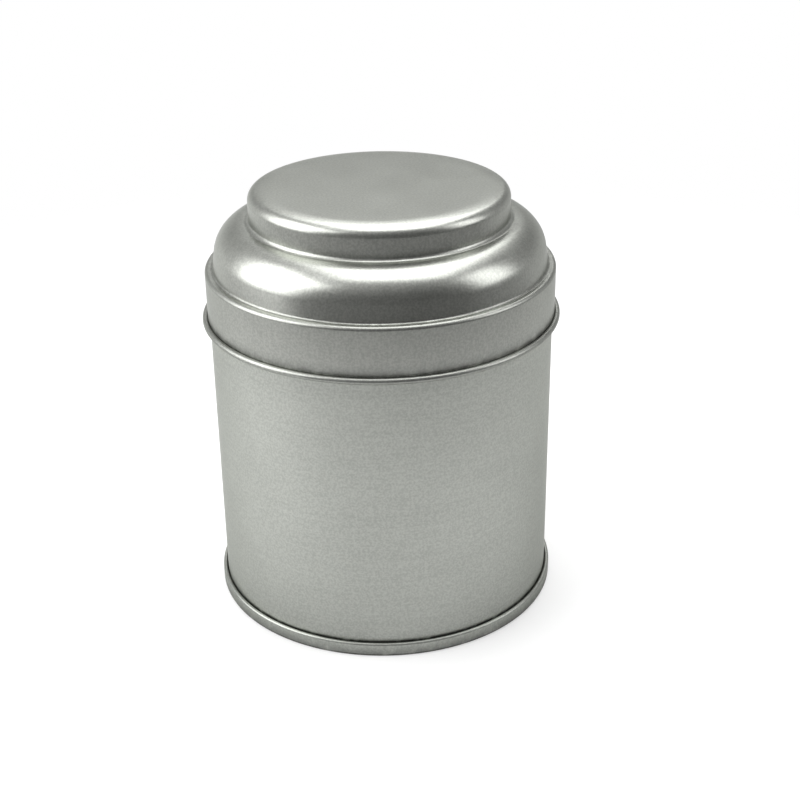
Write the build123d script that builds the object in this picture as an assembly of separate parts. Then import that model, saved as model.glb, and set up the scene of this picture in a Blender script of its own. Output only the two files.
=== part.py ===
from build123d import *

import os
from math import acos, cos, degrees, radians, sin

# Round slip-lid candle tin in tinplate, millimetres, +Z up.
# The origin is the centre of the base, on the plane that the tin stands on.
# Every piece is pressed or rolled from one gauge of sheet, so each is described by the
# path of the sheet's middle line in section, and that section is revolved about Z.

# Sheet
SHEET = 0.23
HALF_SHEET = SHEET / 2

# Body
BODY_RADIUS = 36.45
WALL_MID_RADIUS = BODY_RADIUS - HALF_SHEET
RIM_CURL_DIAMETER = 1.6
RIM_CURL_TURN = 300

# Lid
TOTAL_HEIGHT = 90.9
LEDGE_HEIGHT = 74.5
SHOULDER_HEIGHT = 9.6
SHOULDER_FOOT_RADIUS = 35.23
SHOULDER_ROUND = 6.85
SHOULDER_LEAN = 8
BUTTON_RADIUS = 27.2
BUTTON_ROUND = 2.9
BUTTON_FOOT_ROUND = 0.7
LEDGE_INNER_ROUND = 0.45
LEDGE_OUTER_ROUND = 0.55
SKIRT_CLEARANCE = 0.2
SKIRT_CURL_DIAMETER = 1.35
SKIRT_CURL_TURN = 300
SKIRT_CURL_HEIGHT = 63.6
LID_REST_GAP = 0.04

# Double seam that joins the base end to the body
SEAM_HEIGHT = 3.03
SEAM_OUTER_RADIUS = 37.5
SEAM_BEND = 0.35
CHUCK_WALL_GAP = 0.02
HOOK_PITCH = 2 * SEAM_BEND
BODY_HOOK_TOP = 2.3
BODY_HOOK_LIFT = 0.05
END_HOOK_LENGTH = 1.5

# Base end panel
PANEL_RIM_HEIGHT = 3.45
PANEL_BEND = 0.6
PANEL_STEP_RADIUS = 30.5
PANEL_STEP_BEND = 0.8
PANEL_STEP_TURN = 45

# Sealing compound inside the double seam, with its crown's width as a share of the ring's
COMPOUND_CLEARANCE = 0.01
COMPOUND_CROWN = 0.5

# Side seam of the body, folded flat on the inside at the back
SIDE_SEAM_AZIMUTH = 90
SIDE_SEAM_WIDTH = 4.0
SIDE_SEAM_LAYERS = 2
SIDE_SEAM_NOTCH = 3.0
SEAM_GROOVE_WIDTH = 0.35
SEAM_GROOVE_DEPTH = 0.08


def heading_vector(angle):
    """Unit vector of a heading in section: 0 is outward, 90 is up."""
    return Vector(cos(radians(angle)), 0, sin(radians(angle)))


class SheetPath:
    """Middle line of one bent sheet in section, with both faces half a sheet away."""

    def __init__(self, radius, height, heading):
        self.place = Vector(radius, 0, height)
        self.heading = heading
        self.left_face = []
        self.right_face = []

    def _face_point(self, place, heading, side):
        return place + heading_vector(heading + 90 * side) * HALF_SHEET

    def straight(self, length):
        """Go straight on by a length."""
        end = self.place + heading_vector(self.heading) * length
        for faces, side in ((self.left_face, 1), (self.right_face, -1)):
            first = self._face_point(self.place, self.heading, side)
            last = self._face_point(end, self.heading, side)
            faces.append(Edge.make_line(first, last))
        self.place = end

    def straight_to_radius(self, radius):
        """Go straight on until the middle line is at a radius."""
        self.straight((radius - self.place.X) / heading_vector(self.heading).X)

    def straight_to_height(self, height):
        """Go straight on until the middle line is at a height."""
        self.straight((height - self.place.Z) / heading_vector(self.heading).Z)

    def bend(self, radius, turn):
        """Turn by an angle about a centre on that side, left when the angle is positive."""
        side = 1 if turn > 0 else -1
        centre = self.place + heading_vector(self.heading + 90 * side) * radius
        for faces, face_side in ((self.left_face, 1), (self.right_face, -1)):
            face_radius = radius - HALF_SHEET * side * face_side
            points = [
                centre + heading_vector(self.heading + share * turn - 90 * side) * face_radius
                for share in (0, 0.5, 1)
            ]
            faces.append(Edge.make_three_point_arc(*points))
        self.heading += turn
        self.place = centre + heading_vector(self.heading - 90 * side) * radius

    def revolved(self):
        """The sheet swept once round the Z axis."""
        start_cap = Edge.make_line(self.right_face[0] @ 0, self.left_face[0] @ 0)
        end_cap = Edge.make_line(self.left_face[-1] @ 1, self.right_face[-1] @ 1)
        section = Face(Wire([start_cap, *self.left_face, end_cap, *self.right_face]))
        return revolve(section, Axis.Z, 360)


def ring_block(inner, outer, low, high, azimuth, width):
    """A block bent round the Z axis, as wide as asked along its outer face."""
    corners = [(inner, low), (outer, low), (outer, high), (inner, high)]
    section = Face(Wire.make_polygon([Vector(r, 0, z) for r, z in corners], close=True))
    arc = degrees(width / outer)
    block = revolve(section, Axis.Z, arc)
    return Rot(0, 0, azimuth - arc / 2) * block


def body_wall():
    """Rolled wall: hook in the double seam, straight wall, rim curled inward, side seam."""
    curl_bend = RIM_CURL_DIAMETER / 2 - HALF_SHEET
    rim_top = LEDGE_HEIGHT - SHEET - LID_REST_GAP
    hook_bend_height = SHEET + BODY_HOOK_LIFT + SEAM_BEND + HALF_SHEET
    path = SheetPath(WALL_MID_RADIUS + HOOK_PITCH, BODY_HOOK_TOP, -90)
    path.straight_to_height(hook_bend_height)
    path.bend(SEAM_BEND, -180)
    path.straight_to_height(rim_top - RIM_CURL_DIAMETER / 2)
    path.bend(curl_bend, RIM_CURL_TURN)
    wall = path.revolved()

    seam_low = PANEL_RIM_HEIGHT + SIDE_SEAM_NOTCH
    seam_high = rim_top - RIM_CURL_DIAMETER - SIDE_SEAM_NOTCH
    inner_face = BODY_RADIUS - SHEET
    fold = ring_block(
        inner_face - SIDE_SEAM_LAYERS * SHEET,
        inner_face + HALF_SHEET,
        seam_low,
        seam_high,
        SIDE_SEAM_AZIMUTH,
        SIDE_SEAM_WIDTH,
    )
    groove = ring_block(
        BODY_RADIUS - SEAM_GROOVE_DEPTH,
        BODY_RADIUS + SHEET,
        SEAM_HEIGHT,
        rim_top - RIM_CURL_DIAMETER / 2,
        SIDE_SEAM_AZIMUTH,
        SEAM_GROOVE_WIDTH,
    )
    return wall + fold - groove


def base_end():
    """Pressed bottom: stepped panel, chuck wall, and the outer layers of the double seam."""
    chuck_radius = BODY_RADIUS - SHEET - CHUCK_WALL_GAP - HALF_SHEET
    panel_step = 2 * PANEL_STEP_BEND * (1 - cos(radians(PANEL_STEP_TURN)))
    path = SheetPath(0, PANEL_RIM_HEIGHT + panel_step, 0)
    path.straight_to_radius(PANEL_STEP_RADIUS)
    path.bend(PANEL_STEP_BEND, -PANEL_STEP_TURN)
    path.bend(PANEL_STEP_BEND, PANEL_STEP_TURN)
    path.straight_to_radius(chuck_radius - PANEL_BEND)
    path.bend(PANEL_BEND, -90)
    path.straight_to_height(HALF_SHEET + SEAM_BEND)
    path.bend(SEAM_BEND, 90)
    path.straight_to_radius(SEAM_OUTER_RADIUS - HALF_SHEET - SEAM_BEND)
    path.bend(SEAM_BEND, 90)
    path.straight_to_height(SEAM_HEIGHT - HALF_SHEET - SEAM_BEND)
    path.bend(SEAM_BEND, 180)
    path.straight(END_HOOK_LENGTH)
    return path.revolved()


def seam_compound():
    """Rubbery sealing ring squeezed between the body hook and the fold of the base end."""
    middle = SEAM_OUTER_RADIUS - HALF_SHEET - SEAM_BEND
    half_width = SEAM_BEND - HALF_SHEET - COMPOUND_CLEARANCE
    half_crown = half_width * COMPOUND_CROWN
    low = BODY_HOOK_TOP + COMPOUND_CLEARANCE
    shoulder = SEAM_HEIGHT - HALF_SHEET - SEAM_BEND
    high = shoulder + half_width * sin(acos(COMPOUND_CROWN))
    corners = [
        (middle - half_width, low),
        (middle + half_width, low),
        (middle + half_width, shoulder),
        (middle + half_crown, high),
        (middle - half_crown, high),
        (middle - half_width, shoulder),
    ]
    section = Face(Wire.make_polygon([Vector(r, 0, z) for r, z in corners], close=True))
    return revolve(section, Axis.Z, 360)


def lid():
    """Drawn lid: raised button, rounded shoulder, ledge, skirt and outward curl."""
    top = TOTAL_HEIGHT - HALF_SHEET
    ledge = LEDGE_HEIGHT - HALF_SHEET
    wall_turn = 90 - SHOULDER_LEAN
    button_bend = BUTTON_ROUND - HALF_SHEET
    foot_bend = BUTTON_FOOT_ROUND + HALF_SHEET
    shoulder_bend = SHOULDER_ROUND - HALF_SHEET
    ledge_inner_bend = LEDGE_INNER_ROUND + HALF_SHEET
    ledge_outer_bend = LEDGE_OUTER_ROUND - HALF_SHEET
    curl_bend = SKIRT_CURL_DIAMETER / 2 - HALF_SHEET
    skirt_radius = BODY_RADIUS + SKIRT_CLEARANCE + HALF_SHEET

    fillet_drop = ledge_inner_bend * (1 - cos(radians(wall_turn)))
    fillet_reach = LEDGE_INNER_ROUND * sin(radians(wall_turn)) / (1 + cos(radians(wall_turn)))
    ledge_start = SHOULDER_FOOT_RADIUS + fillet_reach
    arc_drop = shoulder_bend * (1 - cos(radians(wall_turn)))
    wall_length = (SHOULDER_HEIGHT - arc_drop - fillet_drop) / sin(radians(wall_turn))
    shoulder_reach = (shoulder_bend + ledge_inner_bend) * sin(radians(wall_turn))
    shoulder_reach += wall_length * cos(radians(wall_turn))

    path = SheetPath(0, top, 0)
    path.straight_to_radius(BUTTON_RADIUS - HALF_SHEET - button_bend)
    path.bend(button_bend, -90)
    path.straight_to_height(ledge + SHOULDER_HEIGHT + foot_bend)
    path.bend(foot_bend, 90)
    path.straight_to_radius(ledge_start - shoulder_reach)
    path.bend(shoulder_bend, -wall_turn)
    path.straight(wall_length)
    path.bend(ledge_inner_bend, wall_turn)
    path.straight_to_radius(skirt_radius - ledge_outer_bend)
    path.bend(ledge_outer_bend, -90)
    path.straight_to_height(SKIRT_CURL_HEIGHT)
    path.bend(curl_bend, SKIRT_CURL_TURN)
    return path.revolved()


PIECES = {
    "body_wall": body_wall,
    "base_end": base_end,
    "seam_compound": seam_compound,
    "lid": lid,
}

os.makedirs("parts", exist_ok=True)
for name, make in PIECES.items():
    export_step(make(), f"parts/{name}.step")
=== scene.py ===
"""Looks of a round slip-lid candle tin in plain tinplate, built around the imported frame.

The tin is four pieces: a rolled body, a pressed base, the sealing ring between them, and a
drawn lid that lifts off. The three metal pieces are one gauge of sheet each, so each is
drawn here as the path of that sheet in section and turned about the tin's axis.
"""

import logging
from collections.abc import Callable
from dataclasses import dataclass, field
from enum import Enum
from math import ceil, cos, pi, radians, sin

import bmesh
import bpy
from mathutils import Matrix, Vector


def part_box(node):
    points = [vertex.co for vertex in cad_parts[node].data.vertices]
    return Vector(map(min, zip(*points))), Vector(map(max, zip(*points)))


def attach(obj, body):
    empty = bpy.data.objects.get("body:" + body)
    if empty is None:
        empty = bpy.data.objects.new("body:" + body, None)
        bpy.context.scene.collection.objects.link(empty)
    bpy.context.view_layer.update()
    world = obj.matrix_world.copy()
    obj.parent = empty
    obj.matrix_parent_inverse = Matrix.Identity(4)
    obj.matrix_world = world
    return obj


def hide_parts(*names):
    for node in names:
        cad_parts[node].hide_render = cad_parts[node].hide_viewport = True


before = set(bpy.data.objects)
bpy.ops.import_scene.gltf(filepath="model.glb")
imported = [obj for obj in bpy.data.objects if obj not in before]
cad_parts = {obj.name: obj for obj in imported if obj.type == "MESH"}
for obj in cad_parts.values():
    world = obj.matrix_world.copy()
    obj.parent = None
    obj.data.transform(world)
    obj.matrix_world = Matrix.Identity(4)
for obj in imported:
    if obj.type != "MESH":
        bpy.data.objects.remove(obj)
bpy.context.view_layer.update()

MM = 0.001
SHEET = 0.23 * MM
HALF_SHEET = SHEET / 2
ON_FACE = SHEET / 20  # a point this near to a face lies on it
ON_AXIS = 1e-7
TIGHTEST_BEND = 0.3 * MM
SHARP_EDGE = 40.0

# The most that one row of a bend turns by, in degrees, after the radius over which it holds
ROW_TURNS = ((10 * MM, 2.0), (2 * MM, 4.0), (0.0, 7.5))

log = logging.getLogger("candle_tin")


# ----------------------------------------------------------------------------
# Sheet metal in section
# ----------------------------------------------------------------------------


class Face(Enum):
    """The two faces of a sheet, seen along its path."""

    LEFT = 1
    RIGHT = -1


class Streak(Enum):
    """Which way the fine marks of a sheet run, as how fast they change along X, Y and Z."""

    AROUND = (0.02, 0.02, 1.0)
    DOWN = (1.0, 1.0, 0.03)
    ACROSS = (0.02, 1.0, 0.02)


@dataclass(frozen=True)
class Station:
    """One place on a sheet's middle line: where it is, its heading, and how it curves."""

    radius: float
    height: float
    heading: float
    curvature: float


@dataclass(frozen=True)
class OutlinePoint:
    """One point of a section's outline, on one face of the sheet."""

    radius: float
    height: float
    convexity: float


@dataclass
class SheetSection:
    """The path of one bent sheet in section; a heading of 0 is outward and 90 is up."""

    radius: float
    height: float
    heading: float
    row_spacing: float = 3.0 * MM
    hold: float = 0.08 * MM
    stations: list[Station] = field(default_factory=list)

    def _mark(self, curvature: float = 0.0) -> None:
        """Record where the path is now."""
        self.stations.append(Station(self.radius, self.height, self.heading, curvature))

    def _advance(self, length: float) -> None:
        """Move along the heading without turning."""
        self.radius += cos(radians(self.heading)) * length
        self.height += sin(radians(self.heading)) * length

    def straight(self, length: float) -> None:
        """Go straight on, with a row close to each end so that flats stay flat.

        Args:
            length: how far to go.
        """
        if not self.stations:
            self._mark()
        inner = max(length - 2 * self.hold, 0.0)
        if inner <= self.hold:
            self._advance(length)
            self._mark()
            return
        rows = max(1, ceil(inner / self.row_spacing))
        for step in (self.hold, *([inner / rows] * rows), self.hold):
            self._advance(step)
            self._mark()

    def straight_to_radius(self, radius: float) -> None:
        """Go straight on until the middle line is at a radius."""
        self.straight((radius - self.radius) / cos(radians(self.heading)))

    def straight_to_height(self, height: float) -> None:
        """Go straight on until the middle line is at a height."""
        self.straight((height - self.height) / sin(radians(self.heading)))

    def bend(self, radius: float, turn: float) -> None:
        """Turn about a centre on one side.

        Args:
            radius: the middle line's bend radius.
            turn: the angle to turn by, in degrees, to the left when it is positive.
        """
        side = 1 if turn > 0 else -1
        towards = radians(self.heading + 90 * side)
        centre_radius = self.radius + cos(towards) * radius
        centre_height = self.height + sin(towards) * radius
        row_turn = next(most for least_radius, most in ROW_TURNS if radius > least_radius)
        steps = ceil(abs(turn) / row_turn)
        first_heading = self.heading
        for step in range(1, steps + 1):
            self.heading = first_heading + turn * step / steps
            outward = radians(self.heading - 90 * side)
            self.radius = centre_radius + cos(outward) * radius
            self.height = centre_height + sin(outward) * radius
            self._mark(side / radius)

    def _face_points(self, face: Face) -> list[OutlinePoint]:
        """Offset the middle line to one face of the sheet, half a sheet away.

        Args:
            face: which of the two.

        Returns:
            The face's points, from the path's start to its end.
        """
        points = []
        for station in self.stations:
            across = radians(station.heading + 90 * face.value)
            radius = station.radius + cos(across) * HALF_SHEET
            height = station.height + sin(across) * HALF_SHEET
            convexity = -station.curvature * face.value
            points.append(OutlinePoint(max(radius, 0.0), height, convexity))
        return points

    def outline(self) -> list[OutlinePoint]:
        """The whole section, once round both faces."""
        return self._face_points(Face.LEFT) + self._face_points(Face.RIGHT)[::-1]


Shape = Callable[[OutlinePoint, float], tuple[float, float]]
# gives the painted shade of an outline point: darkening in crevices and on the foot, where shade falls
ShadeMask = Callable[[OutlinePoint], float]


def clamped(value: float) -> float:
    """Keep a value between 0 and 1."""
    return min(max(value, 0.0), 1.0)


def as_pressed(point: OutlinePoint, azimuth: float) -> tuple[float, float]:
    """Leave a turned point where its section puts it."""
    return point.radius, point.height


def fading(distance: float, reach: float) -> float:
    """How much painted shade a point gets that lies at a distance from where the shade is darkest."""
    return clamped(1 - distance / reach) ** 2


def even_azimuths(count: int) -> list[float]:
    """Angles of evenly spaced stations once round the axis, in radians."""
    return [2 * pi * index / count for index in range(count)]


def marks(point: OutlinePoint, shade_mask: ShadeMask) -> dict[str, float]:
    """What a mesh keeps about a point: how tightly it bends either way, and how much painted shade it gets.
    """
    bend = point.convexity * TIGHTEST_BEND
    return {"convex": clamped(bend), "hollow": clamped(-bend), "painted_shade": shade_mask(point)}


def join_rings(data: bmesh.types.BMesh, ring: list, next_ring: list, count: int) -> None:
    """Put a band of faces between two rings, of which either may be one point on the axis.

    Args:
        data: the mesh that the rings are in.
        ring: one ring's vertices.
        next_ring: the other ring's vertices.
        count: how many faces go once round.
    """
    for index in range(count):
        after = (index + 1) % count
        corners = [ring[index % len(ring)], ring[after % len(ring)]]
        corners += [next_ring[after % len(next_ring)], next_ring[index % len(next_ring)]]
        corners = list(dict.fromkeys(corners))
        if len(corners) > 2:
            data.faces.new(corners).smooth = True


def turned(
    name: str, outline: list[OutlinePoint], azimuths: list[float], shade_mask: ShadeMask, shape: Shape = as_pressed
) -> bpy.types.Object:
    """Turn a closed outline once round the tin's axis.

    Args:
        name: the new piece's name.
        outline: the section's points, in order.
        azimuths: the angles at which the section is placed, in radians.
        shade_mask: says how much painted shade a point of the outline gets, from 0 to 1.
        shape: gives the radius and height of a point at an angle.

    Returns:
        The new piece, with its bends and its painted shade as the point attributes "convex", "hollow" and
        "painted_shade".
    """
    data = bmesh.new()
    layers = {label: data.verts.layers.float.new(label) for label in ("convex", "hollow", "painted_shade")}
    rings = []
    for point in outline:
        values = marks(point, shade_mask)
        ring = []
        for azimuth in azimuths[:1] if point.radius < ON_AXIS else azimuths:
            radius, height = shape(point, azimuth)
            vertex = data.verts.new((radius * cos(azimuth), radius * sin(azimuth), height))
            for label, layer in layers.items():
                vertex[layer] = values[label]
            ring.append(vertex)
        rings.append(ring)
    for ring, next_ring in zip(rings, rings[1:] + rings[:1]):
        join_rings(data, ring, next_ring, len(azimuths))
    bmesh.ops.recalc_face_normals(data, faces=data.faces)
    mesh = bpy.data.meshes.new(name)
    data.to_mesh(mesh)
    data.free()
    mesh.set_sharp_from_angle(angle=radians(SHARP_EDGE))
    piece = bpy.data.objects.new(name, mesh)
    bpy.context.scene.collection.objects.link(piece)
    return piece


# ----------------------------------------------------------------------------
# Node trees
# ----------------------------------------------------------------------------


class Wiring:
    """Adds nodes to one node tree and links their sockets."""

    def __init__(self, tree: bpy.types.NodeTree) -> None:
        """Start on a tree, with its nodes cleared away."""
        self.tree = tree
        self.tree.nodes.clear()

    def add(self, kind: str, **settings: object) -> bpy.types.Node:
        """Add a node and set its own properties by name.

        Args:
            kind: the node's type.
            **settings: its properties' values.

        Returns:
            The new node.
        """
        node = self.tree.nodes.new(kind)
        for setting, value in settings.items():
            setattr(node, setting, value)
        return node

    def feed(self, socket: bpy.types.NodeSocket, value: object) -> None:
        """Link a socket to another one, or set its value.

        Args:
            socket: the input to feed.
            value: an output socket, or a plain value.
        """
        if isinstance(value, bpy.types.NodeSocket):
            self.tree.links.new(value, socket)
        else:
            socket.default_value = value

    def math(self, operation: str, *values: object, clamped: bool = False) -> bpy.types.NodeSocket:
        """Do one sum on sockets or numbers.

        Args:
            operation: the Math node's operation.
            *values: its inputs in order.
            clamped: keep the result between 0 and 1.

        Returns:
            The output socket.
        """
        node = self.add("ShaderNodeMath", operation=operation, use_clamp=clamped)
        for socket, value in zip(node.inputs, values):
            self.feed(socket, value)
        return node.outputs[0]

    def noise(self, vector: object, scale: object, detail: float, roughness: float) -> bpy.types.NodeSocket:
        """Place a noise texture and return its value.

        Args:
            vector: where to read it.
            scale: how many features there are to a metre.
            detail: octaves of finer noise.
            roughness: how strong the finer octaves are.

        Returns:
            The noise value's socket.
        """
        node = self.add("ShaderNodeTexNoise")
        self.feed(node.inputs["Vector"], vector)
        self.feed(node.inputs["Scale"], scale)
        node.inputs["Detail"].default_value = detail
        node.inputs["Roughness"].default_value = roughness
        return node.outputs["Fac"]

    def spread(self, value: object, low: float, high: float) -> bpy.types.NodeSocket:
        """Turn a value into a share that runs smoothly from 0 to 1 between two limits.

        Args:
            value: what to read.
            low: where the share is 0.
            high: where the share is 1.

        Returns:
            The share's socket.
        """
        node = self.add("ShaderNodeMapRange", interpolation_type="SMOOTHSTEP")
        self.feed(node.inputs["Value"], value)
        node.inputs["From Min"].default_value = low
        node.inputs["From Max"].default_value = high
        return node.outputs["Result"]


class GroupWiring(Wiring):
    """A shared effect: a node group with named inputs and outputs."""

    def __init__(self, name: str, inputs: dict[str, str], outputs: dict[str, str]) -> None:
        """Make the group.

        Args:
            name: the group's name.
            inputs: socket types by input name.
            outputs: socket types by output name.
        """
        super().__init__(bpy.data.node_groups.new(name, "ShaderNodeTree"))
        for label, kind in inputs.items():
            self.tree.interface.new_socket(label, in_out="INPUT", socket_type=kind)
        for label, kind in outputs.items():
            self.tree.interface.new_socket(label, in_out="OUTPUT", socket_type=kind)
        self.given = self.add("NodeGroupInput").outputs
        self.wanted = self.add("NodeGroupOutput").inputs


NUMBER = "NodeSocketFloat"
VECTOR = "NodeSocketVector"


class SharedEffects:
    """The effects that more than one finish uses, each a node group made once."""

    def __init__(self) -> None:
        """Make every group."""
        self.grain = self._grain()
        self.streaks = self._streaks()
        self.haze = self._haze()
        self.edges = self._edges()

    def _grain(self) -> bpy.types.NodeTree:
        """Fine pebbly grain of a satin sheet: a height, and a speckle for gloss and tone.

        Returns:
            The group.
        """
        inputs = {"Vector": VECTOR, "Scale": NUMBER}
        wiring = GroupWiring("sheet_grain", inputs, {"Height": NUMBER, "Speckle": NUMBER})
        fineness, fine_share = 2.3, 0.35
        vector = wiring.given["Vector"]
        coarse = wiring.noise(vector, wiring.given["Scale"], 2.0, 0.55)
        fine_scale = wiring.math("MULTIPLY", wiring.given["Scale"], fineness)
        fine = wiring.noise(vector, fine_scale, 1.0, 0.5)
        pits = wiring.math("MULTIPLY", fine, fine_share)
        height = wiring.math("MULTIPLY_ADD", coarse, 1 - fine_share, pits)
        wiring.feed(wiring.wanted["Height"], height)
        wiring.feed(wiring.wanted["Speckle"], wiring.spread(coarse, 0.35, 0.65))
        return wiring.tree

    def _streaks(self) -> bpy.types.NodeTree:
        """Faint straight marks left by rolls or a die: a height and a tone.

        Returns:
            The group.
        """
        inputs = {"Vector": VECTOR, "Run": VECTOR, "Scale": NUMBER}
        wiring = GroupWiring("die_streaks", inputs, {"Height": NUMBER, "Tone": NUMBER})
        along = wiring.add("ShaderNodeVectorMath", operation="MULTIPLY")
        wiring.feed(along.inputs[0], wiring.given["Vector"])
        wiring.feed(along.inputs[1], wiring.given["Run"])
        lines = wiring.noise(along.outputs[0], wiring.given["Scale"], 3.0, 0.7)
        wiring.feed(wiring.wanted["Height"], lines)
        wiring.feed(wiring.wanted["Tone"], wiring.spread(lines, 0.3, 0.7))
        return wiring.tree

    def _haze(self) -> bpy.types.NodeTree:
        """Soft clouds of handling haze.

        Returns:
            The group.
        """
        wiring = GroupWiring("handling_haze", {"Vector": VECTOR, "Scale": NUMBER}, {"Cloud": NUMBER})
        broad = wiring.noise(wiring.given["Vector"], wiring.given["Scale"], 4.0, 0.6)
        wiring.feed(wiring.wanted["Cloud"], wiring.spread(broad, 0.25, 0.75))
        return wiring.tree

    def _edges(self) -> bpy.types.NodeTree:
        """Tin dulled where it was stretched over a bend, and painted shade in hollows and in marked
        crevices, broken up by noise.

        Returns:
            The group.
        """
        inputs = {"Vector": VECTOR, "Convex": NUMBER, "Hollow": NUMBER, "Painted_Shade": NUMBER}
        wiring = GroupWiring("bend_wear_and_shade", inputs, {"Stretch": NUMBER, "Patchy_Shade": NUMBER})
        patch_scale, hollow_share, stretch_gain, shade_gain = 420.0, 0.6, 1.6, 1.2
        patches = wiring.noise(wiring.given["Vector"], patch_scale, 3.0, 0.6)
        drawn = wiring.math("MULTIPLY", wiring.given["Convex"], wiring.spread(patches, 0.1, 0.5))
        # painted shade: concave bends, marked crevices and the foot are darkened where shade falls, broken
        # into patches
        hollow = wiring.math("MULTIPLY", wiring.given["Hollow"], hollow_share)
        shade_places = wiring.math("ADD", hollow, wiring.given["Painted_Shade"], clamped=True)
        broken_shade = wiring.math("MULTIPLY", shade_places, wiring.spread(patches, 0.85, 0.4))
        stretch = wiring.math("MULTIPLY", drawn, stretch_gain, clamped=True)
        wiring.feed(wiring.wanted["Stretch"], stretch)
        wiring.feed(wiring.wanted["Patchy_Shade"], wiring.math("MULTIPLY", broken_shade, shade_gain, clamped=True))
        return wiring.tree


# ----------------------------------------------------------------------------
# Finishes
# ----------------------------------------------------------------------------

Colour = tuple[float, float, float]


def opaque(colour: Colour, factor: float = 1.0) -> tuple[float, float, float, float]:
    """A colour made lighter or darker, with full alpha."""
    return (*(channel * factor for channel in colour), 1.0)


@dataclass(frozen=True)
class TinplateFinish:
    """Satin tinplate: tin over steel, with grain, marks, haze, dulled bends and painted shade in hollows,
    crevices and on the foot.

    A swing is how far a value goes from its darkest or smoothest place to the opposite one, and the
    three tone shares say how much the grain, the streaks and the haze each have in the tone.
    """

    name: str
    colour: Colour = (0.49, 0.505, 0.47)
    rim_tint: Colour = (0.72, 0.73, 0.71)
    roughness: float = 0.3
    grain_scale: float = 2300.0
    grain_depth: float = 7e-6
    streak: Streak = Streak.DOWN
    streak_scale: float = 2200.0
    streak_depth: float = 0.8e-6
    tone_swing: float = 0.16
    speckle_tone: float = 0.6
    streak_tone: float = 0.2
    haze_tone: float = 0.2
    haze_scale: float = 70.0
    haze_swing: float = 0.02
    speckle_swing: float = 0.03
    stretch_dulling: float = 0.1
    stretch_cover: float = 0.35
    stretch_shade: float = 0.35
    # painted shade in hollows, crevices and on the foot: its extra roughness, how much it covers, and how
    # dark it is
    shade_dulling: float = 0.15
    shade_cover: float = 0.88
    shade_tone: float = 0.12

    def material(self, effects: SharedEffects) -> bpy.types.Material:
        """Make the material.

        Args:
            effects: the shared node groups.

        Returns:
            The finished material.
        """
        made = bpy.data.materials.new(self.name)
        made.use_nodes = True
        wiring = Wiring(made.node_tree)
        place = wiring.add("ShaderNodeTexCoord").outputs["Object"]
        grain = self._group(wiring, effects.grain, place, Scale=self.grain_scale)
        streaks = self._group(
            wiring, effects.streaks, place, Run=self.streak.value, Scale=self.streak_scale
        )
        haze = self._group(wiring, effects.haze, place, Scale=self.haze_scale)
        bends = {
            label: wiring.add("ShaderNodeAttribute", attribute_name=label.lower()).outputs["Fac"]
            for label in ("Convex", "Hollow", "Painted_Shade")
        }
        wear_and_shade = self._group(wiring, effects.edges, place, **bends)

        shader = wiring.add("ShaderNodeBsdfPrincipled")
        shader.inputs["Metallic"].default_value = 1.0
        shader.inputs["Specular Tint"].default_value = opaque(self.rim_tint)
        wiring.feed(shader.inputs["Base Color"], self._tone(wiring, grain, streaks, haze, wear_and_shade))
        wiring.feed(shader.inputs["Roughness"], self._gloss(wiring, grain, haze, wear_and_shade))
        wiring.feed(shader.inputs["Normal"], self._relief(wiring, grain, streaks))
        output = wiring.add("ShaderNodeOutputMaterial")
        wiring.feed(output.inputs["Surface"], shader.outputs["BSDF"])
        return made

    def _group(self, wiring: Wiring, tree: bpy.types.NodeTree, place: object, **values: object) -> dict:
        """Place a shared effect in the material with its own values.

        Args:
            wiring: the material's nodes.
            tree: the effect's group.
            place: where it is read.
            **values: its other inputs by name.

        Returns:
            The effect's outputs by name.
        """
        node = wiring.add("ShaderNodeGroup", node_tree=tree)
        wiring.feed(node.inputs["Vector"], place)
        for label, value in values.items():
            wiring.feed(node.inputs[label], value)
        return {socket.name: socket for socket in node.outputs}

    def _tone(self, wiring: Wiring, grain: dict, streaks: dict, haze: dict, wear_and_shade: dict) -> object:
        """Base colour: lighter and darker with every mark, dull on bends, darkened by painted shade in
        hollows, crevices and on the foot.

        Args:
            wiring: the material's nodes.
            grain: the outputs of the sheet's grain.
            streaks: the outputs of its straight marks.
            haze: the outputs of its handling haze.
            wear_and_shade: the outputs of its bend wear and its painted shade.

        Returns:
            The colour's socket.
        """
        mixed = wiring.math("MULTIPLY", grain["Speckle"], self.speckle_tone)
        mixed = wiring.math("MULTIPLY_ADD", streaks["Tone"], self.streak_tone, mixed)
        mixed = wiring.math("MULTIPLY_ADD", haze["Cloud"], self.haze_tone, mixed, clamped=True)
        sheet = wiring.add("ShaderNodeMix", data_type="RGBA")
        wiring.feed(sheet.inputs["Factor"], mixed)
        sheet.inputs["A"].default_value = opaque(self.colour, 1 - self.tone_swing)
        sheet.inputs["B"].default_value = opaque(self.colour, 1 + self.tone_swing)
        tone = sheet.outputs["Result"]
        tone = self._covered(wiring, tone, wear_and_shade["Stretch"], self.stretch_cover, self.stretch_shade)
        # painted shade: the colour is darker where shade falls in hollows, crevices and on the foot
        return self._covered(wiring, tone, wear_and_shade["Patchy_Shade"], self.shade_cover, self.shade_tone)

    def _covered(self, wiring: Wiring, under: object, mask: object, cover: float, shade: float) -> object:
        """Lay a darker shade of the finish over a colour.

        Args:
            wiring: the material's nodes.
            under: the colour to cover.
            mask: where it is covered, from 0 to 1.
            cover: how much of it is covered where the mask is full.
            shade: the cover's colour, as a share of the finish's.

        Returns:
            The colour's socket.
        """
        mix = wiring.add("ShaderNodeMix", data_type="RGBA")
        wiring.feed(mix.inputs["Factor"], wiring.math("MULTIPLY", mask, cover))
        wiring.feed(mix.inputs["A"], under)
        mix.inputs["B"].default_value = opaque(self.colour, shade)
        return mix.outputs["Result"]

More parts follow.
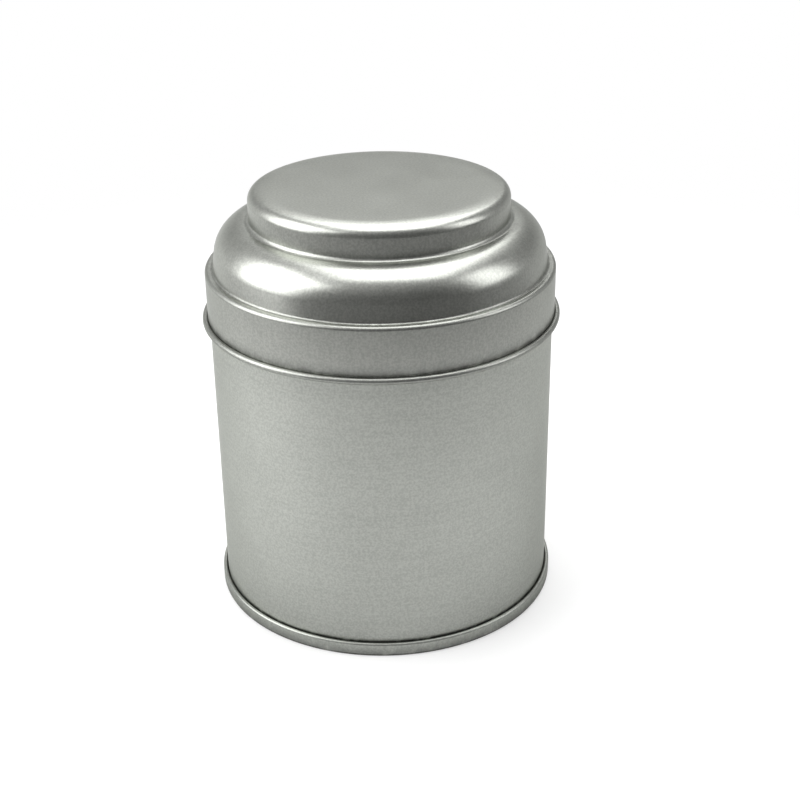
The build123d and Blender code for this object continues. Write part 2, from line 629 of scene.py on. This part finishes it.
    def _gloss(self, wiring: Wiring, grain: dict, haze: dict, wear_and_shade: dict) -> object:
        """Roughness: hazier in clouds, rougher on specks, where shade is painted and where the tin is
        stretched.

        Args:
            wiring: the material's nodes.
            grain: the outputs of the sheet's grain.
            haze: the outputs of its handling haze.
            wear_and_shade: the outputs of its bend wear and its painted shade.

        Returns:
            The roughness's socket.
        """
        base = self.roughness - self.haze_swing / 2 - self.speckle_swing / 2
        rough = wiring.math("MULTIPLY_ADD", haze["Cloud"], self.haze_swing, base)
        rough = wiring.math("MULTIPLY_ADD", grain["Speckle"], self.speckle_swing, rough)
        rough = wiring.math("MULTIPLY_ADD", wear_and_shade["Stretch"], self.stretch_dulling, rough)
        return wiring.math("MULTIPLY_ADD", wear_and_shade["Patchy_Shade"], self.shade_dulling, rough, clamped=True)

    def _relief(self, wiring: Wiring, grain: dict, streaks: dict) -> object:
        """Bump from the grain, with the streaks laid over it.

        Args:
            wiring: the material's nodes.
            grain: the outputs of the sheet's grain.
            streaks: the outputs of its straight marks.

        Returns:
            The normal's socket.
        """
        lines = wiring.add("ShaderNodeBump")
        lines.inputs["Distance"].default_value = self.streak_depth
        wiring.feed(lines.inputs["Height"], streaks["Height"])
        pebbles = wiring.add("ShaderNodeBump")
        pebbles.inputs["Distance"].default_value = self.grain_depth
        wiring.feed(pebbles.inputs["Height"], grain["Height"])
        wiring.feed(pebbles.inputs["Normal"], lines.outputs["Normal"])
        return pebbles.outputs["Normal"]


@dataclass(frozen=True)
class CompoundFinish:
    """Dull, slightly tacky sealing compound."""

    name: str = "seam_rubber"
    colour: Colour = (0.36, 0.33, 0.27)
    roughness: float = 0.75
    grain_scale: float = 5200.0
    grain_depth: float = 12e-6
    darkest: float = 0.85
    lightest: float = 1.1

    def material(self, effects: SharedEffects) -> bpy.types.Material:
        """Make the material.

        Args:
            effects: the shared node groups.

        Returns:
            The finished material.
        """
        made = bpy.data.materials.new(self.name)
        made.use_nodes = True
        wiring = Wiring(made.node_tree)
        place = wiring.add("ShaderNodeTexCoord").outputs["Object"]
        grain = wiring.add("ShaderNodeGroup", node_tree=effects.grain)
        wiring.feed(grain.inputs["Vector"], place)
        grain.inputs["Scale"].default_value = self.grain_scale
        relief = wiring.add("ShaderNodeBump")
        relief.inputs["Distance"].default_value = self.grain_depth
        wiring.feed(relief.inputs["Height"], grain.outputs["Height"])
        shade = wiring.add("ShaderNodeMix", data_type="RGBA")
        wiring.feed(shade.inputs["Factor"], grain.outputs["Speckle"])
        shade.inputs["A"].default_value = opaque(self.colour, self.darkest)
        shade.inputs["B"].default_value = opaque(self.colour, self.lightest)
        shader = wiring.add("ShaderNodeBsdfPrincipled")
        shader.inputs["Roughness"].default_value = self.roughness
        wiring.feed(shader.inputs["Base Color"], shade.outputs["Result"])
        wiring.feed(shader.inputs["Normal"], relief.outputs["Normal"])
        output = wiring.add("ShaderNodeOutputMaterial")
        wiring.feed(output.inputs["Surface"], shader.outputs["BSDF"])
        return made


# ----------------------------------------------------------------------------
# Sub-assemblies
# ----------------------------------------------------------------------------


@dataclass
class Lid:
    """The drawn lid: raised button, rounded shoulder, ledge, skirt and outward curl.

    The button is flat in the middle, falls away over a gentle crown, and then rounds over.
    """

    ledge_height: float = 74.5 * MM
    shoulder_height: float = 9.6 * MM
    shoulder_foot_radius: float = 35.23 * MM
    shoulder_round: float = 6.85 * MM
    shoulder_lean: float = 8.0
    button_radius: float = 27.2 * MM
    button_round: float = 2.0 * MM
    crown_round: float = 18.0 * MM
    crown_turn: float = 10.0
    button_foot_round: float = 0.9 * MM
    ledge_inner_round: float = 0.45 * MM
    ledge_outer_round: float = 0.75 * MM
    skirt_inner_radius: float = 36.65 * MM
    curl_diameter: float = 1.35 * MM
    curl_turn: float = 300.0
    curl_height: float = 63.6 * MM
    # painted shade above the curl: how far up the skirt it reaches, and the rows that carry it
    curl_shade_reach: float = 3.2 * MM
    shade_rows: tuple[float, ...] = (1.0, 0.6, 0.3, 0.0)
    segments: int = 256
    finish: TinplateFinish = TinplateFinish(
        "lid_satin_tinplate", colour=(0.45, 0.46, 0.43), roughness=0.3, streak=Streak.DOWN
    )

    def section(self) -> SheetSection:
        """The sheet's path from the middle of the button to the end of the curl.

        Returns:
            The finished path.
        """
        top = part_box("lid")[1].z - HALF_SHEET
        ledge = self.ledge_height - HALF_SHEET
        wall_turn = 90 - self.shoulder_lean
        down, across = sin(radians(wall_turn)), cos(radians(wall_turn))
        button_bend = self.button_round - HALF_SHEET
        foot_bend = self.button_foot_round + HALF_SHEET
        shoulder_bend = self.shoulder_round - HALF_SHEET
        inner_bend = self.ledge_inner_round + HALF_SHEET
        outer_bend = self.ledge_outer_round - HALF_SHEET
        curl_bend = self.curl_diameter / 2 - HALF_SHEET
        wall_length = (self.shoulder_height - (shoulder_bend + inner_bend) * (1 - across)) / down
        fillet_reach = self.ledge_inner_round * down / (1 + across)
        ledge_start = self.shoulder_foot_radius + fillet_reach
        shoulder_reach = (shoulder_bend + inner_bend) * down + wall_length * across

        path = SheetSection(0.0, top, 0.0)
        crown_reach = self.crown_round * sin(radians(self.crown_turn))
        rim_reach = button_bend * (1 - sin(radians(self.crown_turn)))
        path.straight_to_radius(self.button_radius - HALF_SHEET - rim_reach - crown_reach)
        path.bend(self.crown_round, -self.crown_turn)
        path.bend(button_bend, self.crown_turn - 90)
        path.straight_to_height(ledge + self.shoulder_height + foot_bend)
        path.bend(foot_bend, 90)
        path.straight_to_radius(ledge_start - shoulder_reach)
        path.bend(shoulder_bend, -wall_turn)
        path.straight(wall_length)
        path.bend(inner_bend, wall_turn)
        path.straight_to_radius(self.skirt_inner_radius + HALF_SHEET - outer_bend)
        path.bend(outer_bend, -90)
        # rows up the skirt that carry the painted shade above the curl
        for share in self.shade_rows:
            path.straight_to_height(self.curl_height + share * self.curl_shade_reach)
        path.bend(curl_bend, self.curl_turn)
        return path

    def build(self) -> bpy.types.Object:
        """Turn the lid's sheet about the axis."""
        return turned("lid_pressing", self.section().outline(), even_azimuths(self.segments), self._shade_mask)

    def _shade_mask(self, point: OutlinePoint) -> float:
        """Painted shade in the crevice where the skirt meets its curl."""
        on_skirt = abs(point.radius - self.skirt_inner_radius - SHEET) < ON_FACE
        return fading(point.height - self.curl_height, self.curl_shade_reach) if on_skirt else 0.0

    def dress(self, piece: bpy.types.Object, effects: SharedEffects) -> None:
        """Give the lid its finish and its place in the frame.

        Args:
            piece: the lid's mesh.
            effects: the shared node groups.
        """
        piece.data.materials.append(self.finish.material(effects))
        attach(piece, "lid")
        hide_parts("lid")


@dataclass
class BodyWall:
    """The rolled body: hook in the double seam, wall, inward rim curl, side seam at the back."""

    radius: float = 36.45 * MM
    hook_pitch: float = 0.7 * MM
    hook_bend: float = 0.35 * MM
    hook_top: float = 2.3 * MM
    hook_lift: float = 0.05 * MM
    rim_curl_diameter: float = 1.6 * MM
    rim_curl_turn: float = 300.0
    fold_width: float = 4.0 * MM
    fold_layers: int = 2
    fold_end_gap: float = 3.0 * MM
    fold_ramp: float = 0.2 * MM
    base_height: float = 3.45 * MM
    seam_height: float = 3.03 * MM
    # painted shade in the crevice above the double seam: how far up the wall it reaches
    seam_shade_reach: float = 0.6 * MM
    groove_width: float = 0.5 * MM
    groove_floor: float = 0.2 * MM
    groove_depth: float = 0.08 * MM
    seam_azimuth: float = 90.0
    segments: int = 256
    least_gap: float = 0.35
    finish: TinplateFinish = TinplateFinish("body_satin_tinplate", roughness=0.36, streak=Streak.AROUND)

    def __post_init__(self) -> None:
        """Find the rim in the frame, and the heights between which the side seam is folded."""
        self.rim_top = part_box("body_wall")[1].z
        self.fold_low = self.base_height + self.fold_end_gap
        self.fold_high = self.rim_top - self.rim_curl_diameter - self.fold_end_gap

    def section(self) -> SheetSection:
        """The sheet's path from its hook in the double seam to the end of the rim curl.

        Returns:
            The finished path.
        """
        wall_radius = self.radius - HALF_SHEET
        path = SheetSection(wall_radius + self.hook_pitch, self.hook_top, -90.0)
        path.straight_to_height(SHEET + self.hook_lift + self.hook_bend + HALF_SHEET)
        path.bend(self.hook_bend, -180)
        seam_end = self.seam_height + self.seam_shade_reach
        for height in (self.seam_height, seam_end, self.fold_low, self.fold_low + self.fold_ramp):
            path.straight_to_height(height)
        path.straight_to_height(self.fold_high - self.fold_ramp)
        path.straight_to_height(self.fold_high)
        path.straight_to_height(self.rim_top - self.rim_curl_diameter / 2)
        path.bend(self.rim_curl_diameter / 2 - HALF_SHEET, self.rim_curl_turn)
        return path

    def azimuths(self) -> list[float]:
        """Stations round the body, closer together at the side seam.

        Returns:
            Their angles in rising order, in radians.
        """
        seam = radians(self.seam_azimuth)
        half_fold, half_groove = self.fold_width / 2, self.groove_width / 2
        across = (0.0, self.groove_floor / 2, half_groove, half_fold - self.fold_ramp, half_fold)
        near = sorted({seam + side * offset / self.radius for offset in across for side in (1, -1)})
        clear = self.least_gap * 2 * pi / self.segments
        spaced = [
            azimuth
            for azimuth in even_azimuths(self.segments)
            if all(abs(azimuth - other) > clear for other in near)
        ]
        return sorted(spaced + near)

    def _seamed(self, point: OutlinePoint, azimuth: float) -> tuple[float, float]:
        """Press the side seam into the wall: a fold on the inside and a groove outside.

        Args:
            point: a point of the wall's outline.
            azimuth: the angle that it is turned to, in radians.

        Returns:
            The point's radius and height there.
        """
        sideways = abs(azimuth - radians(self.seam_azimuth)) * self.radius
        on_outside = abs(point.radius - self.radius) < ON_FACE
        on_inside = abs(point.radius - self.radius + SHEET) < ON_FACE
        if on_inside and self.fold_low <= point.height <= self.fold_high:
            end = min(point.height - self.fold_low, self.fold_high - point.height)
            side = self.fold_width / 2 - sideways
            rise = clamped(min(end, side) / self.fold_ramp)
            return point.radius - rise * self.fold_layers * SHEET, point.height
        if on_outside:
            slope_width = (self.groove_width - self.groove_floor) / 2
            sink = clamped(1 - (sideways - self.groove_floor / 2) / slope_width)
            return point.radius - sink * self.groove_depth, point.height
        return point.radius, point.height

    def build(self) -> bpy.types.Object:
        """Turn the body's sheet about the axis and press its side seam."""
        outline = self.section().outline()
        return turned("body_sheet", outline, self.azimuths(), self._shade_mask, self._seamed)

    def _shade_mask(self, point: OutlinePoint) -> float:
        """Painted shade in the crevice where the wall meets the double seam."""
        return fading(point.height - self.seam_height, self.seam_shade_reach)

    def dress(self, piece: bpy.types.Object, effects: SharedEffects) -> None:
        """Give the body its finish and its place in the frame.

        Args:
            piece: the body's mesh.
            effects: the shared node groups.
        """
        piece.data.materials.append(self.finish.material(effects))
        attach(piece, "tin")
        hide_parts("body_wall")


@dataclass
class BaseEnd:
    """The pressed base: stepped panel, chuck wall and the outer layers of the double seam."""

    chuck_radius: float = 36.085 * MM
    seam_height: float = 3.03 * MM
    seam_bend: float = 0.35 * MM
    hook_length: float = 1.5 * MM
    panel_height: float = 3.45 * MM
    panel_bend: float = 0.6 * MM
    step_radius: float = 30.5 * MM
    step_bend: float = 0.8 * MM
    step_turn: float = 45.0
    # painted contact shadow on the foot: full at the very bottom, fading out a little higher up
    foot_shade_reach: float = 1.0 * MM
    foot_full_shade: float = 0.25 * MM
    segments: int = 256
    finish: TinplateFinish = TinplateFinish("base_satin_tinplate", streak=Streak.ACROSS)

    def section(self) -> SheetSection:
        """The sheet's path from the middle of the panel to the end of the hook.

        Returns:
            The finished path.
        """
        seam_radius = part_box("base_end")[1].x
        rise = 2 * self.step_bend * (1 - cos(radians(self.step_turn)))
        path = SheetSection(0.0, self.panel_height + rise, 0.0)
        path.straight_to_radius(self.step_radius)
        path.bend(self.step_bend, -self.step_turn)
        path.bend(self.step_bend, self.step_turn)
        path.straight_to_radius(self.chuck_radius - self.panel_bend)
        path.bend(self.panel_bend, -90)
        path.straight_to_height(HALF_SHEET + self.seam_bend)
        path.bend(self.seam_bend, 90)
        path.straight_to_radius(seam_radius - HALF_SHEET - self.seam_bend)
        path.bend(self.seam_bend, 90)
        path.straight_to_height(self.seam_height - HALF_SHEET - self.seam_bend)
        path.bend(self.seam_bend, 180)
        path.straight(self.hook_length)
        return path

    def build(self) -> bpy.types.Object:
        """Turn the base's sheet about the axis."""
        return turned("base_pressing", self.section().outline(), even_azimuths(self.segments), self._shade_mask)

    def _shade_mask(self, point: OutlinePoint) -> float:
        """Painted contact shadow on the foot that the tin stands on."""
        return fading(point.height - self.foot_full_shade, self.foot_shade_reach)

    def dress(self, piece: bpy.types.Object, effects: SharedEffects) -> None:
        """Give the base its finish and its place in the frame.

        Args:
            piece: the base's mesh.
            effects: the shared node groups.
        """
        piece.data.materials.append(self.finish.material(effects))
        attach(piece, "tin")
        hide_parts("base_end")


@dataclass
class SealingRing:
    """The ring of sealing compound inside the double seam, kept as the frame has it."""

    finish: CompoundFinish = CompoundFinish()

    def dress(self, effects: SharedEffects) -> bpy.types.Object:
        """Give the frame's own ring its finish.

        Args:
            effects: the shared node groups.

        Returns:
            The ring.
        """
        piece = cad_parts["seam_compound"]
        piece.data.materials.clear()
        piece.data.materials.append(self.finish.material(effects))
        return piece


# ----------------------------------------------------------------------------
# Studio
# ----------------------------------------------------------------------------

WHITE: Colour = (1.0, 1.0, 1.0)
PANEL_WATTS = 4.0  # power of one square metre of panel for each step of brightness
Span = tuple[float, float]


@dataclass(frozen=True)
class SoftPanel:
    """A flat soft light: where it hangs, what it faces, its size and how bright its face is."""

    name: str
    place: tuple[float, float, float]
    target: tuple[float, float, float]
    width: float
    depth: float
    brightness: float

    def hang(self) -> bpy.types.Object:
        """Make the light.

        Returns:
            The light.
        """
        lamp = bpy.data.lights.new(self.name, "AREA")
        lamp.shape = "RECTANGLE"
        lamp.size = self.width
        lamp.size_y = self.depth
        lamp.energy = self.brightness * PANEL_WATTS * self.width * self.depth
        panel = bpy.data.objects.new(self.name, lamp)
        panel.location = self.place
        aim = Vector(self.target) - Vector(self.place)
        panel.rotation_euler = aim.to_track_quat("-Z", "Y").to_euler()
        panel.visible_camera = False
        bpy.context.scene.collection.objects.link(panel)
        return panel


@dataclass
class RoomLight:
    """How bright the room is in each direction.

    A level is a brightness, and a span says between which heights, depths or sides of the
    direction from the tin, from -1 to 1, the brightness turns from one level to the next.
    """

    front_level: float = 0.18
    back_level: float = 0.47
    front_to_back: Span = (-0.6, 0.8)
    ceiling_level: float = 0.30
    ceiling_span: Span = (0.35, 0.85)
    low_level: float = 0.66
    low_depth_span: Span = (-0.1, 0.95)
    low_height_span: Span = (0.35, -0.15)
    right_share: float = 0.70
    left_to_right: Span = (-0.4, 0.5)

    def _level(self, wiring: Wiring) -> bpy.types.NodeSocket:
        """Brightness by direction: dim in front, brighter behind and above, dimmer on the right.

        Args:
            wiring: the room's nodes.

        Returns:
            The brightness's socket.
        """
        parts = wiring.add("ShaderNodeSeparateXYZ")
        wiring.feed(parts.inputs[0], wiring.add("ShaderNodeTexCoord").outputs["Generated"])
        sideways, depth, height = parts.outputs
        behind = wiring.spread(depth, *self.front_to_back)
        level = wiring.math("MULTIPLY_ADD", behind, self.back_level - self.front_level, self.front_level)
        overhead = wiring.spread(height, *self.ceiling_span)
        level = wiring.math("MULTIPLY_ADD", overhead, self.ceiling_level, level)
        far = wiring.spread(depth, *self.low_depth_span)
        low = wiring.math("MULTIPLY", far, wiring.spread(height, *self.low_height_span))
        level = wiring.math("MULTIPLY_ADD", low, self.low_level, level)
        rightward = wiring.spread(sideways, *self.left_to_right)
        share = wiring.math("MULTIPLY_ADD", rightward, self.right_share - 1, 1.0)
        return wiring.math("MULTIPLY", level, share)

    def build(self) -> None:
        """Make the room, which is plain white where the camera looks past the tin."""
        world = bpy.data.worlds.new("studio_room")
        world.use_nodes = True
        bpy.context.scene.world = world
        wiring = Wiring(world.node_tree)
        room, backdrop = (wiring.add("ShaderNodeBackground") for _ in range(2))
        for background in (room, backdrop):
            background.inputs["Color"].default_value = opaque(WHITE)
        wiring.feed(room.inputs["Strength"], self._level(wiring))
        chosen = wiring.add("ShaderNodeMixShader")
        wiring.feed(chosen.inputs[0], wiring.add("ShaderNodeLightPath").outputs["Is Camera Ray"])
        wiring.feed(chosen.inputs[1], room.outputs[0])
        wiring.feed(chosen.inputs[2], backdrop.outputs[0])
        output = wiring.add("ShaderNodeOutputWorld")
        wiring.feed(output.inputs["Surface"], chosen.outputs[0])


@dataclass
class Studio:
    """White floor, soft panels above and on both sides, and the room around them."""

    floor_radius: float = 0.9
    floor_segments: int = 96
    floor_colour: Colour = (0.60, 0.60, 0.60)
    floor_roughness: float = 0.9
    floor_lift: float = 0.38
    fade_start: float = 0.13
    fade_end: float = 0.30
    room: RoomLight = field(default_factory=RoomLight)
    panels: tuple[SoftPanel, ...] = (
        SoftPanel("overhead_panel", (0.06, 0.25, 0.50), (0.06, 0.25, 0.0), 0.40, 0.82, 2.3),
        SoftPanel("left_panel", (-0.31, -0.07, 0.19), (-0.08, -0.07, 0.0), 0.31, 0.38, 2.8),
        SoftPanel("right_panel", (0.34, -0.07, 0.24), (0.0, -0.07, 0.18), 0.18, 0.28, 2.0),
    )

    def lay_floor(self) -> bpy.types.Object:
        """Make the floor, which fades out at its rim.

        Returns:
            The floor.
        """
        data = bmesh.new()
        sizes = {"radius": self.floor_radius, "segments": self.floor_segments}
        bmesh.ops.create_circle(data, cap_ends=True, **sizes)
        mesh = bpy.data.meshes.new("studio_floor")
        data.to_mesh(mesh)
        data.free()
        mesh.materials.append(self._floor_material())
        floor = bpy.data.objects.new("studio_floor", mesh)
        bpy.context.scene.collection.objects.link(floor)
        return floor

    def _floor_material(self) -> bpy.types.Material:
        """Matt white that glows a little, fades out towards its rim and is clear from below.

        Returns:
            The finished material.
        """
        made = bpy.data.materials.new("studio_white")
        made.use_nodes = True
        wiring = Wiring(made.node_tree)
        place = wiring.add("ShaderNodeTexCoord").outputs["Object"]
        distance = wiring.add("ShaderNodeVectorMath", operation="LENGTH")
        wiring.feed(distance.inputs[0], place)
        shader = wiring.add("ShaderNodeBsdfPrincipled")
        shader.inputs["Base Color"].default_value = opaque(self.floor_colour)
        shader.inputs["Roughness"].default_value = self.floor_roughness
        shader.inputs["Specular IOR Level"].default_value = 0.0
        shader.inputs["Emission Color"].default_value = opaque(WHITE)
        looked_at = wiring.add("ShaderNodeLightPath").outputs["Is Camera Ray"]
        glow = wiring.math("MULTIPLY", looked_at, self.floor_lift)
        wiring.feed(shader.inputs["Emission Strength"], glow)
        faded = wiring.spread(distance.outputs["Value"], self.fade_end, self.fade_start)
        below = wiring.add("ShaderNodeNewGeometry").outputs["Backfacing"]
        wiring.feed(shader.inputs["Alpha"], wiring.math("SUBTRACT", faded, below, clamped=True))
        output = wiring.add("ShaderNodeOutputMaterial")
        wiring.feed(output.inputs["Surface"], shader.outputs["BSDF"])
        return made

    def build(self) -> None:
        """Make the floor, the room and every panel."""
        self.lay_floor()
        self.room.build()
        for panel in self.panels:
            panel.hang()
        bpy.context.scene.view_settings.view_transform = "Standard"


@dataclass
class Viewpoint:
    """The camera: where it stands and which way it looks, in metres and degrees.

    Its lens and sensor are in millimetres.
    """

    distance: float = 0.28625
    height: float = 0.18010
    yaw: float = 0.743
    pitch: float = 25.824
    roll: float = -0.809
    lens: float = 64.82
    sensor: float = 36.0
    nearest: float = 0.01

    def build(self) -> bpy.types.Object:
        """Make the camera and look through it.

        Returns:
            The camera.
        """
        yaw, pitch, roll = radians(self.yaw), radians(self.pitch), radians(self.roll)
        forward = Vector((sin(yaw) * cos(pitch), cos(yaw) * cos(pitch), -sin(pitch)))
        level = Vector((cos(yaw), -sin(yaw), 0.0))
        upright = level.cross(forward)
        right = level * cos(roll) + upright * sin(roll)
        up = upright * cos(roll) - level * sin(roll)
        data = bpy.data.cameras.new("viewpoint")
        data.lens = self.lens
        data.sensor_width = self.sensor
        data.clip_start = self.nearest
        camera = bpy.data.objects.new("viewpoint", data)
        turn = Matrix((right, up, -forward)).transposed().to_4x4()
        camera.matrix_world = Matrix.Translation((0.0, -self.distance, self.height)) @ turn
        bpy.context.scene.collection.objects.link(camera)
        bpy.context.scene.camera = camera
        return camera


def report(piece: bpy.types.Object) -> None:
    """Log what a finished piece is made of."""
    mesh = piece.data
    log.info("%s: %d vertices, %d faces", piece.name, len(mesh.vertices), len(mesh.polygons))


def main() -> None:
    """Build the viewpoint, the studio and every piece of the tin."""
    logging.basicConfig(level=logging.INFO, format="%(name)s: %(message)s")
    Viewpoint().build()
    Studio().build()
    effects = SharedEffects()
    for part in (BaseEnd(), BodyWall(), Lid()):
        piece = part.build()
        part.dress(piece, effects)
        report(piece)
    report(SealingRing().dress(effects))


if __name__ == "__main__":
    main()
